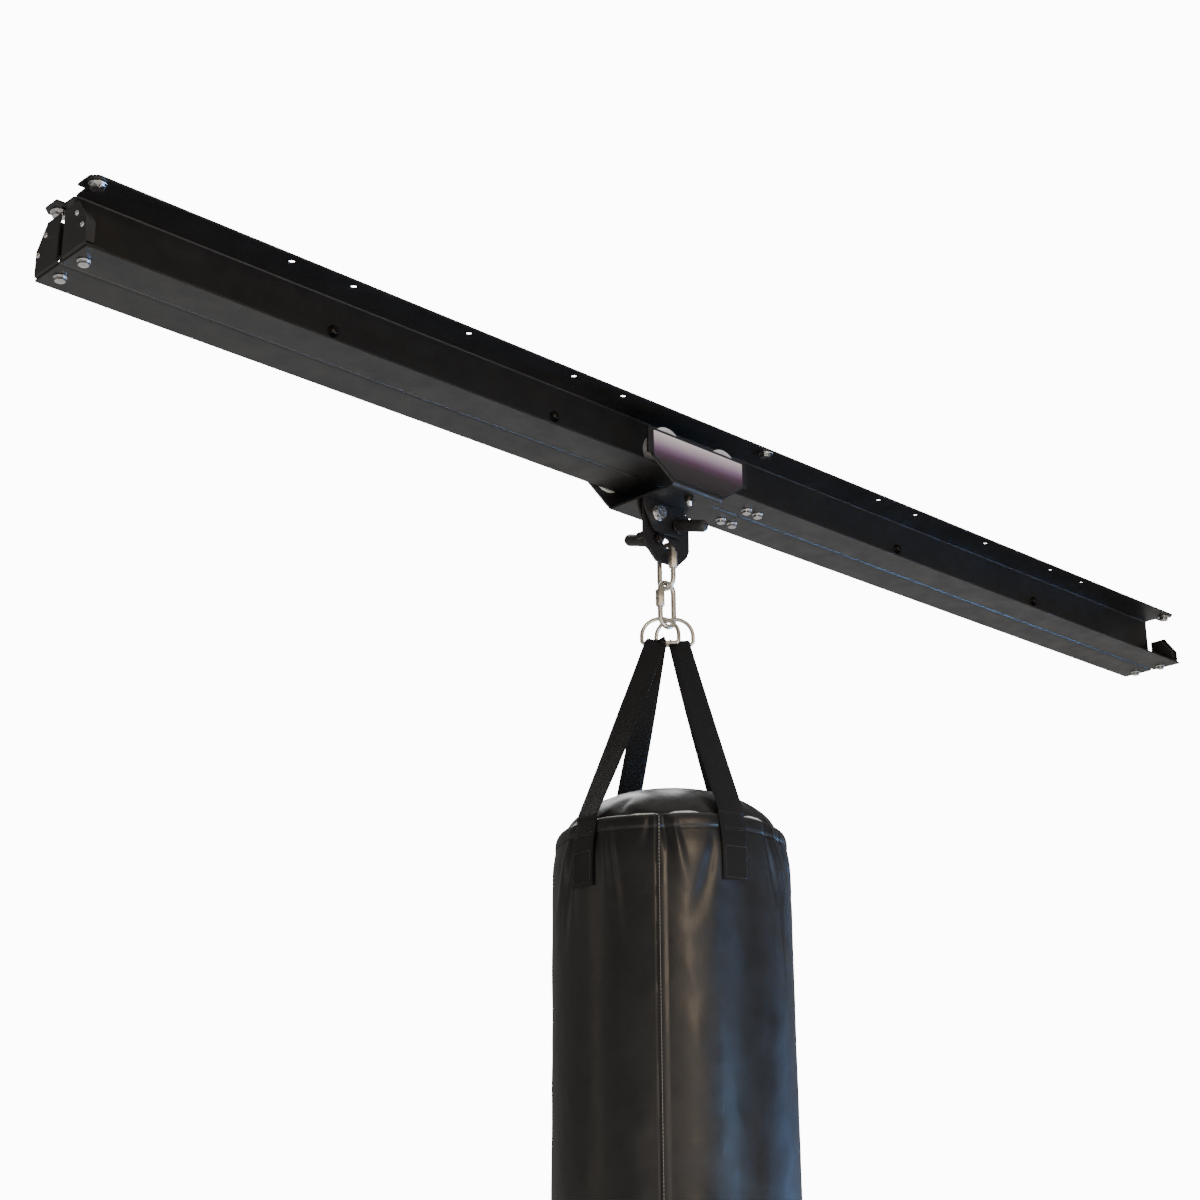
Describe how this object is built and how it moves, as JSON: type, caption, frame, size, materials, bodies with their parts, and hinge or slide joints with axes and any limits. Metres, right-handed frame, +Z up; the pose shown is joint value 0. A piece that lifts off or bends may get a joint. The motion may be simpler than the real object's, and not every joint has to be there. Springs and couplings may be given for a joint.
{
  "type": "punching bag on rail trolley",
  "caption": "Heavy cylindrical punching bag hung by webbing straps and quick links from a wheeled trolley that rolls inside a ceiling-mounted I-beam rail.",
  "frame": {"origin": "middle of the rail's length, on its top face, where it bolts to the ceiling", "axes": "+X along the rail, +Y across it away from the labelled trolley plate, +Z up"},
  "size_m": [2.4414, 0.3519, 1.719],
  "materials": {
    "powder_coat": "semi-gloss black powder coat",
    "zinc": "bright zinc plate, slightly warm",
    "black_steel": "blackened steel",
    "wheel_nylon": "off-white nylon",
    "rubber": "matte black rubber",
    "label": "printed film, cream to purple to dark grey, with no lettering",
    "webbing": "black nylon webbing",
    "leatherette": "glossy grained black coated fabric",
    "lining": "white backing cloth",
    "filling": "shredded textile"
  },
  "bodies": {
    "rail": {"channel_near_left": "powder_coat", "channel_near_right": "powder_coat", "channel_far_left": "powder_coat", "channel_far_right": "powder_coat", "web_bolt_1": "black_steel", "web_bolt_2": "black_steel", "web_bolt_3": "black_steel", "web_bolt_4": "black_steel", "splice_plate_near": "powder_coat", "splice_plate_far": "powder_coat", "splice_bolt_near_left": "zinc", "splice_bolt_near_right": "zinc", "splice_bolt_far_left": "zinc", "splice_bolt_far_right": "zinc", "end_stop_near_left": "powder_coat", "end_stop_near_right": "powder_coat", "end_stop_far_left": "powder_coat", "end_stop_far_right": "powder_coat", "end_bumper_near_left": "rubber", "end_bumper_near_right": "rubber", "end_bumper_far_left": "rubber", "end_bumper_far_right": "rubber"},
    "trolley": {"trolley_frame": "powder_coat", "label_plate": "label", "axle_near_left": "zinc", "axle_near_right": "zinc", "axle_far_left": "zinc", "axle_far_right": "zinc", "hanger_ear_near": "powder_coat", "hanger_ear_far": "powder_coat", "hanger_plate": "powder_coat", "near_peg_bolt": "black_steel", "near_peg_sleeve": "rubber", "far_peg_bolt": "black_steel", "far_peg_sleeve": "rubber", "cross_bolt": "zinc", "lock_screw_nut": "black_steel", "floor_screw": "zinc"},
    "wheel_set_near_left": {"wheel_near_left": "wheel_nylon", "bearing_near_left": "zinc"},
    "wheel_set_near_right": {"wheel_near_right": "wheel_nylon", "bearing_near_right": "zinc"},
    "wheel_set_far_left": {"wheel_far_left": "wheel_nylon", "bearing_far_left": "zinc"},
    "wheel_set_far_right": {"wheel_far_right": "wheel_nylon", "bearing_far_right": "zinc"},
    "lock_screw": {"lock_screw": "zinc"},
    "upper_link": {"upper_link": "zinc"},
    "upper_link_nut": {"upper_link_nut": "zinc"},
    "lower_link": {"lower_link": "zinc"},
    "lower_link_nut": {"lower_link_nut": "zinc"},
    "bag": {"d_ring_left": "zinc", "d_ring_right": "zinc", "strap_left": "webbing", "strap_right": "webbing", "bag_shell": "leatherette", "bag_base": "leatherette", "rim_lining": "lining", "top_cap": "leatherette", "bag_filling": "filling"}
  },
  "joints": [
    {"name": "trolley_travel", "type": "slide", "parent": "rail", "child": "trolley", "axis": [1, 0, 0], "range_m": [-0.947, 1.281]},
    {"name": "wheel_spin_near_left", "type": "hinge", "parent": "trolley", "child": "wheel_set_near_left", "pos_m": [-0.232, 0, -0.0715], "axis": [0, 1, 0], "continuous": true},
    {"name": "wheel_spin_near_right", "type": "hinge", "parent": "trolley", "child": "wheel_set_near_right", "pos_m": [-0.108, 0, -0.0715], "axis": [0, 1, 0], "continuous": true},
    {"name": "wheel_spin_far_left", "type": "hinge", "parent": "trolley", "child": "wheel_set_far_left", "pos_m": [-0.232, 0, -0.0715], "axis": [0, 1, 0], "continuous": true},
    {"name": "wheel_spin_far_right", "type": "hinge", "parent": "trolley", "child": "wheel_set_far_right", "pos_m": [-0.108, 0, -0.0715], "axis": [0, 1, 0], "continuous": true},
    {"name": "lock_screw_turn", "type": "slide", "parent": "trolley", "child": "lock_screw", "axis": [0, 0, 1], "range_m": [0, 0.0035]},
    {"name": "upper_link_swing", "type": "hinge", "parent": "trolley", "child": "upper_link", "pos_m": [-0.17, 0, -0.1954], "axis": [0, 1, 0], "range_deg": [-30, 30]},
    {"name": "upper_link_nut_travel", "type": "slide", "parent": "upper_link", "child": "upper_link_nut", "axis": [0, 0, -1], "range_m": [0, 0.014]},
    {"name": "lower_link_swing", "type": "hinge", "parent": "upper_link", "child": "lower_link", "pos_m": [-0.17, 0, -0.2571], "axis": [1, 0, 0], "range_deg": [-35, 35]},
    {"name": "lower_link_nut_travel", "type": "slide", "parent": "lower_link", "child": "lower_link_nut", "axis": [0, 0, -1], "range_m": [0, 0.014]},
    {"name": "bag_swing", "type": "hinge", "parent": "lower_link", "child": "bag", "pos_m": [-0.17, 0, -0.3171], "axis": [1, 0, 0], "range_deg": [-8, 8]}
  ],
  "couplings": [
    {"joint": "wheel_spin_near_left", "follows": "trolley_travel", "rad_per_m": 37.313},
    {"joint": "wheel_spin_near_right", "follows": "trolley_travel", "rad_per_m": 37.313},
    {"joint": "wheel_spin_far_left", "follows": "trolley_travel", "rad_per_m": 37.313},
    {"joint": "wheel_spin_far_right", "follows": "trolley_travel", "rad_per_m": 37.313}
  ]
}
